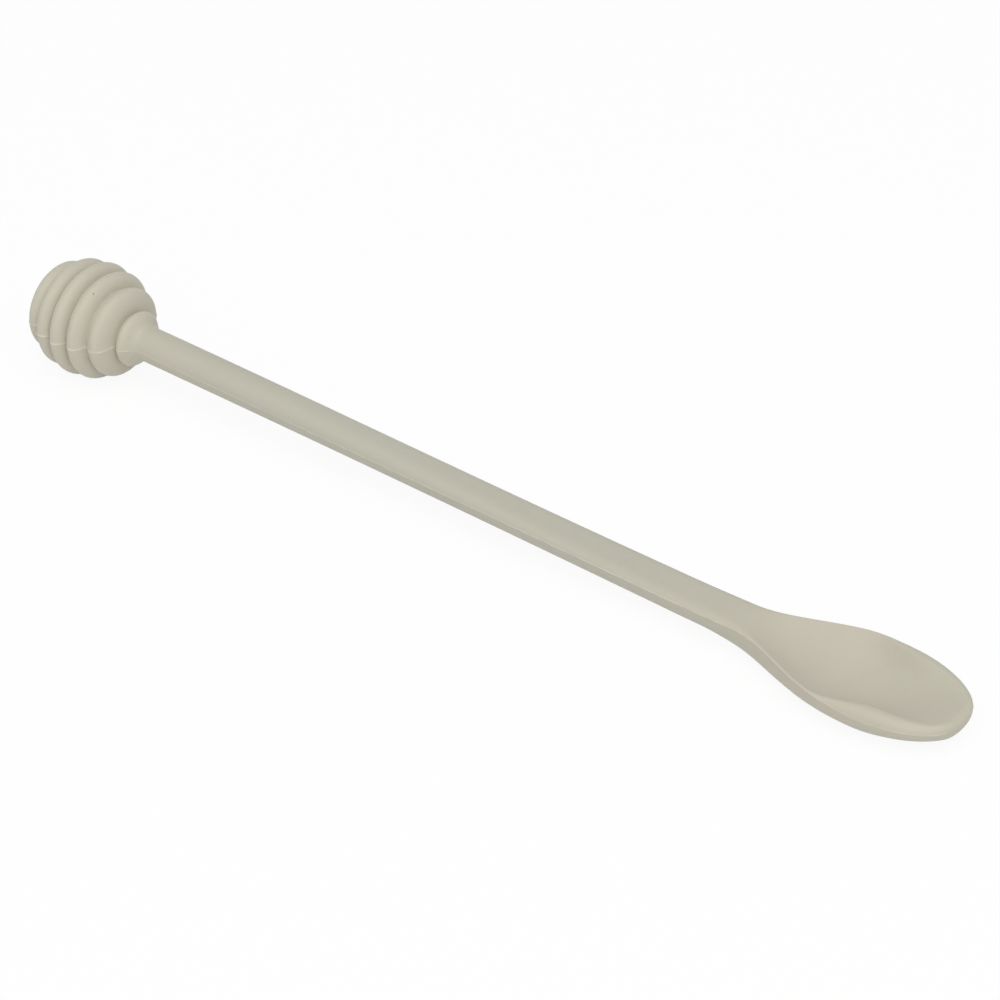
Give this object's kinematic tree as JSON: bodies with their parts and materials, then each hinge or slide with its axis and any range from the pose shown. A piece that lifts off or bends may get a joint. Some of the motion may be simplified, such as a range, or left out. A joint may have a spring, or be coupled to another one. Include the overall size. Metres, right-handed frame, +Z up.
{
  "type": "honey spoon",
  "caption": "Double-ended soft silicone honey spoon: a ribbed dipper ball on one end of a slim stiff-cored handle and an oval tasting spoon bowl on the other.",
  "frame": {"origin": "middle of the footprint, on the surface that the spoon lies on", "axes": "+X along the handle from the dipper ball to the spoon bowl, +Z up out of the bowl's hollow, lying on the ball and the bowl's belly"},
  "size_m": [0.2754, 0.03, 0.03],
  "materials": {
    "silicone": "matte",
    "steel": "brushed",
    "nylon": "matte"
  },
  "bodies": {
    "root": {"upper_jacket": "silicone", "lower_jacket": "silicone", "core_rod": "steel", "bowl_blade": "steel", "dipper_hub": "nylon"}
  },
  "joints": []
}
